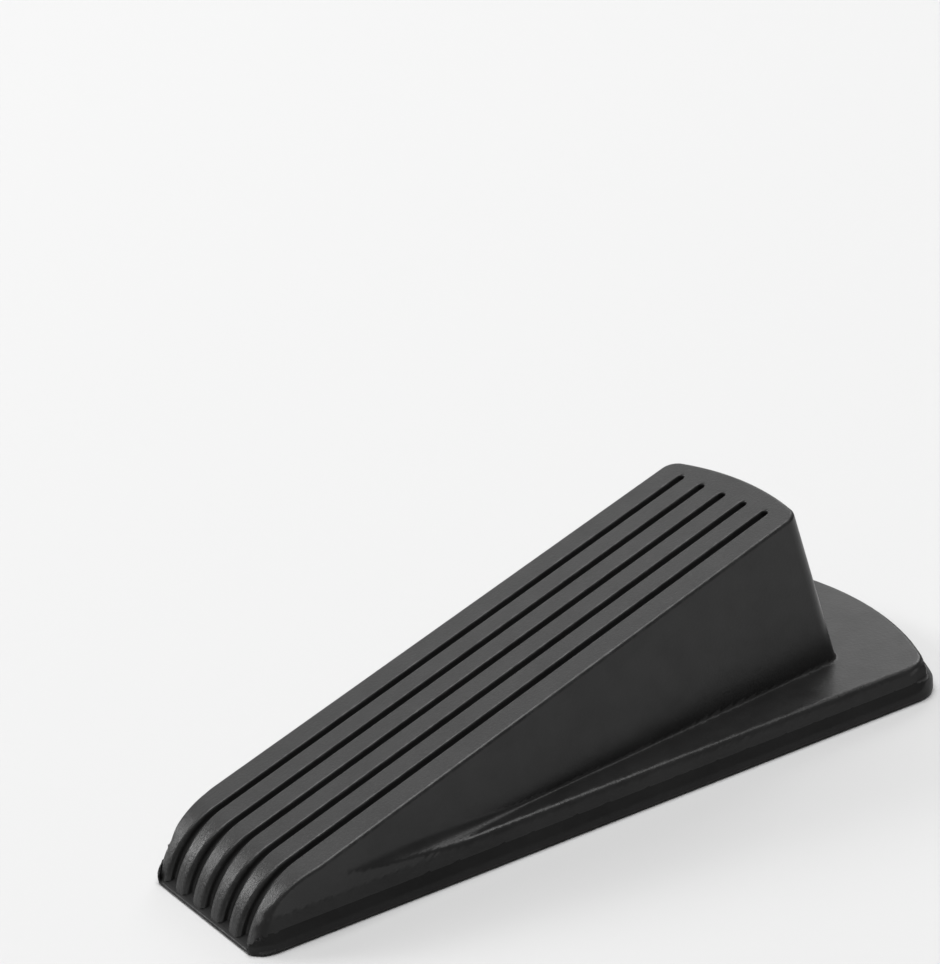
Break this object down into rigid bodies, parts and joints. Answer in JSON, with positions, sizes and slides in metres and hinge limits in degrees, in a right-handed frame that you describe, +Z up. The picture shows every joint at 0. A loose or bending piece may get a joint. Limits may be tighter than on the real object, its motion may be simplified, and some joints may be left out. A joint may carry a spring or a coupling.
{
  "type": "door wedge",
  "caption": "Black rubber door wedge with a ribbed ramp, a rounded nose, a flared foot that runs out behind the back wall, and a bonded anti-slip sole.",
  "frame": {"origin": "on the floor, under the middle of the wedge's length and width", "axes": "+X from the toe to the heel, +Y across the wedge, +Z up; symmetric about the XZ plane"},
  "size_m": [0.121, 0.057, 0.0312],
  "materials": {
    "body_rubber": "satin moulded rubber, fine grain on the ramp",
    "sole_rubber": "matt anti-slip rubber"
  },
  "bodies": {
    "root": {"wedge_body": "body_rubber", "sole": "sole_rubber"}
  },
  "joints": []
}
